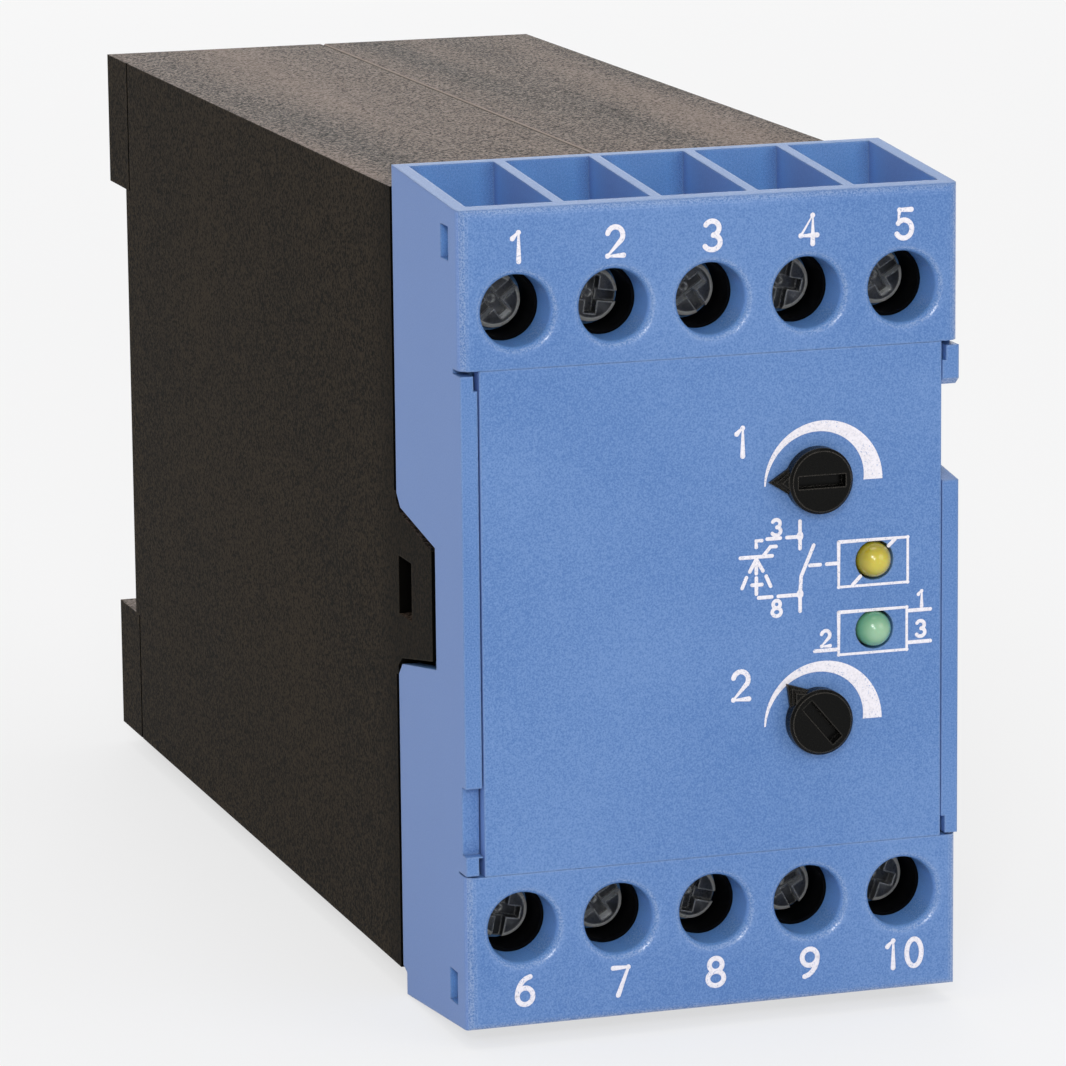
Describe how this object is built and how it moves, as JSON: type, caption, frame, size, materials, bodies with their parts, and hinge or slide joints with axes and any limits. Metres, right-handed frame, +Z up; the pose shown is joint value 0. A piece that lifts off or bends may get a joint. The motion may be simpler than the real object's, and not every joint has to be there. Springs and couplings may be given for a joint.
{
  "type": "soft starter",
  "caption": "Rail-mounted soft starter: blue terminal head with screw clamps, dials and lamps on a black two-part housing with a sprung rail latch.",
  "frame": {"origin": "middle of the rail seat, on the flat face that meets the mounting rail", "axes": "+X to the right seen from the front, along the rail; +Y from the front to the rail; +Z up"},
  "size_m": [0.045, 0.1226, 0.074],
  "materials": {
    "housing": "fine grained",
    "head": "satin",
    "dial": "satin",
    "potentiometer": "smooth",
    "yellow_lens": "glossy, translucent",
    "green_lens": "glossy, translucent",
    "plated_steel": "zinc plated",
    "tinned_copper": "tinned",
    "circuit_board": "solder resist",
    "moulded_black": "moulded",
    "relay_case": "smooth",
    "aluminium": "extruded",
    "capacitor": "smooth",
    "varistor": "dipped",
    "potting": "potted",
    "latch": "fine grained",
    "spring_steel": "bare"
  },
  "bodies": {
    "housing": {"housing_left": "housing", "housing_right": "housing", "terminal_head": "head", "front_panel": "head", "pot_upper": "potentiometer", "pot_lower": "potentiometer", "lamp_yellow": "yellow_lens", "lamp_green": "green_lens", "bars_upper": "tinned_copper", "bars_lower": "tinned_copper", "front_board": "circuit_board", "control_chip": "moulded_black", "board_header": "moulded_black", "power_board": "circuit_board", "relay_a": "relay_case", "relay_b": "relay_case", "thyristor_a": "moulded_black", "thyristor_b": "moulded_black", "sink_screws": "plated_steel", "heat_sink": "aluminium", "line_capacitor": "capacitor", "varistors": "varistor", "supply_coil": "potting", "latch_spring": "spring_steel"},
    "upper_dial": {"knob_upper": "dial"},
    "lower_dial": {"knob_lower": "dial"},
    "screw_u1": {"screw_u1": "plated_steel"},
    "cage_u1": {"cage_u1": "plated_steel"},
    "screw_u2": {"screw_u2": "plated_steel"},
    "cage_u2": {"cage_u2": "plated_steel"},
    "screw_u3": {"screw_u3": "plated_steel"},
    "cage_u3": {"cage_u3": "plated_steel"},
    "screw_u4": {"screw_u4": "plated_steel"},
    "cage_u4": {"cage_u4": "plated_steel"},
    "screw_u5": {"screw_u5": "plated_steel"},
    "cage_u5": {"cage_u5": "plated_steel"},
    "screw_l1": {"screw_l1": "plated_steel"},
    "cage_l1": {"cage_l1": "plated_steel"},
    "screw_l2": {"screw_l2": "plated_steel"},
    "cage_l2": {"cage_l2": "plated_steel"},
    "screw_l3": {"screw_l3": "plated_steel"},
    "cage_l3": {"cage_l3": "plated_steel"},
    "screw_l4": {"screw_l4": "plated_steel"},
    "cage_l4": {"cage_l4": "plated_steel"},
    "screw_l5": {"screw_l5": "plated_steel"},
    "cage_l5": {"cage_l5": "plated_steel"},
    "latch": {"rail_latch": "latch"}
  },
  "joints": [
    {"name": "upper_dial_turn", "type": "hinge", "parent": "housing", "child": "upper_dial", "pos_m": [0.0093, -0.1144, 0.0107], "axis": [0, 1, 0], "range_deg": [0, 180]},
    {"name": "lower_dial_turn", "type": "hinge", "parent": "housing", "child": "lower_dial", "pos_m": [0.0093, -0.1144, -0.0105], "axis": [0, 1, 0], "range_deg": [-50, 130]},
    {"name": "screw_u1_turn", "type": "hinge", "parent": "housing", "child": "screw_u1", "pos_m": [-0.0174, -0.108, 0.0268], "axis": [0, 1, 0], "range_deg": [0, 1442]},
    {"name": "cage_u1_pull", "type": "slide", "parent": "housing", "child": "cage_u1", "axis": [0, -1, 0], "range_m": [0, 0.0024]},
    {"name": "screw_u2_turn", "type": "hinge", "parent": "housing", "child": "screw_u2", "pos_m": [-0.0087, -0.108, 0.0268], "axis": [0, 1, 0], "range_deg": [0, 1442]},
    {"name": "cage_u2_pull", "type": "slide", "parent": "housing", "child": "cage_u2", "axis": [0, -1, 0], "range_m": [0, 0.0024]},
    {"name": "screw_u3_turn", "type": "hinge", "parent": "housing", "child": "screw_u3", "pos_m": [0, -0.108, 0.0268], "axis": [0, 1, 0], "range_deg": [0, 1442]},
    {"name": "cage_u3_pull", "type": "slide", "parent": "housing", "child": "cage_u3", "axis": [0, -1, 0], "range_m": [0, 0.0024]},
    {"name": "screw_u4_turn", "type": "hinge", "parent": "housing", "child": "screw_u4", "pos_m": [0.0087, -0.108, 0.0268], "axis": [0, 1, 0], "range_deg": [0, 1442]},
    {"name": "cage_u4_pull", "type": "slide", "parent": "housing", "child": "cage_u4", "axis": [0, -1, 0], "range_m": [0, 0.0024]},
    {"name": "screw_u5_turn", "type": "hinge", "parent": "housing", "child": "screw_u5", "pos_m": [0.0174, -0.108, 0.0268], "axis": [0, 1, 0], "range_deg": [0, 1442]},
    {"name": "cage_u5_pull", "type": "slide", "parent": "housing", "child": "cage_u5", "axis": [0, -1, 0], "range_m": [0, 0.0024]},
    {"name": "screw_l1_turn", "type": "hinge", "parent": "housing", "child": "screw_l1", "pos_m": [-0.0174, -0.108, -0.0268], "axis": [0, 1, 0], "range_deg": [0, 1442]},
    {"name": "cage_l1_pull", "type": "slide", "parent": "housing", "child": "cage_l1", "axis": [0, -1, 0], "range_m": [0, 0.0024]},
    {"name": "screw_l2_turn", "type": "hinge", "parent": "housing", "child": "screw_l2", "pos_m": [-0.0087, -0.108, -0.0268], "axis": [0, 1, 0], "range_deg": [0, 1442]},
    {"name": "cage_l2_pull", "type": "slide", "parent": "housing", "child": "cage_l2", "axis": [0, -1, 0], "range_m": [0, 0.0024]},
    {"name": "screw_l3_turn", "type": "hinge", "parent": "housing", "child": "screw_l3", "pos_m": [0, -0.108, -0.0268], "axis": [0, 1, 0], "range_deg": [0, 1442]},
    {"name": "cage_l3_pull", "type": "slide", "parent": "housing", "child": "cage_l3", "axis": [0, -1, 0], "range_m": [0, 0.0024]},
    {"name": "screw_l4_turn", "type": "hinge", "parent": "housing", "child": "screw_l4", "pos_m": [0.0087, -0.108, -0.0268], "axis": [0, 1, 0], "range_deg": [0, 1442]},
    {"name": "cage_l4_pull", "type": "slide", "parent": "housing", "child": "cage_l4", "axis": [0, -1, 0], "range_m": [0, 0.0024]},
    {"name": "screw_l5_turn", "type": "hinge", "parent": "housing", "child": "screw_l5", "pos_m": [0.0174, -0.108, -0.0268], "axis": [0, 1, 0], "range_deg": [0, 1442]},
    {"name": "cage_l5_pull", "type": "slide", "parent": "housing", "child": "cage_l5", "axis": [0, -1, 0], "range_m": [0, 0.0024]},
    {"name": "latch_slide", "type": "slide", "parent": "housing", "child": "latch", "axis": [0, 0, -1], "range_m": [0, 0.0025], "stiffness_N_per_m": 900, "springref_m": -0.003, "deforming": ["latch_spring"]}
  ],
  "couplings": [
    {"joint": "screw_u1_turn", "follows": "cage_u1_pull", "rad_per_m": 10472},
    {"joint": "screw_u2_turn", "follows": "cage_u2_pull", "rad_per_m": 10472},
    {"joint": "screw_u3_turn", "follows": "cage_u3_pull", "rad_per_m": 10472},
    {"joint": "screw_u4_turn", "follows": "cage_u4_pull", "rad_per_m": 10472},
    {"joint": "screw_u5_turn", "follows": "cage_u5_pull", "rad_per_m": 10472},
    {"joint": "screw_l1_turn", "follows": "cage_l1_pull", "rad_per_m": 10472},
    {"joint": "screw_l2_turn", "follows": "cage_l2_pull", "rad_per_m": 10472},
    {"joint": "screw_l3_turn", "follows": "cage_l3_pull", "rad_per_m": 10472},
    {"joint": "screw_l4_turn", "follows": "cage_l4_pull", "rad_per_m": 10472},
    {"joint": "screw_l5_turn", "follows": "cage_l5_pull", "rad_per_m": 10472}
  ]
}
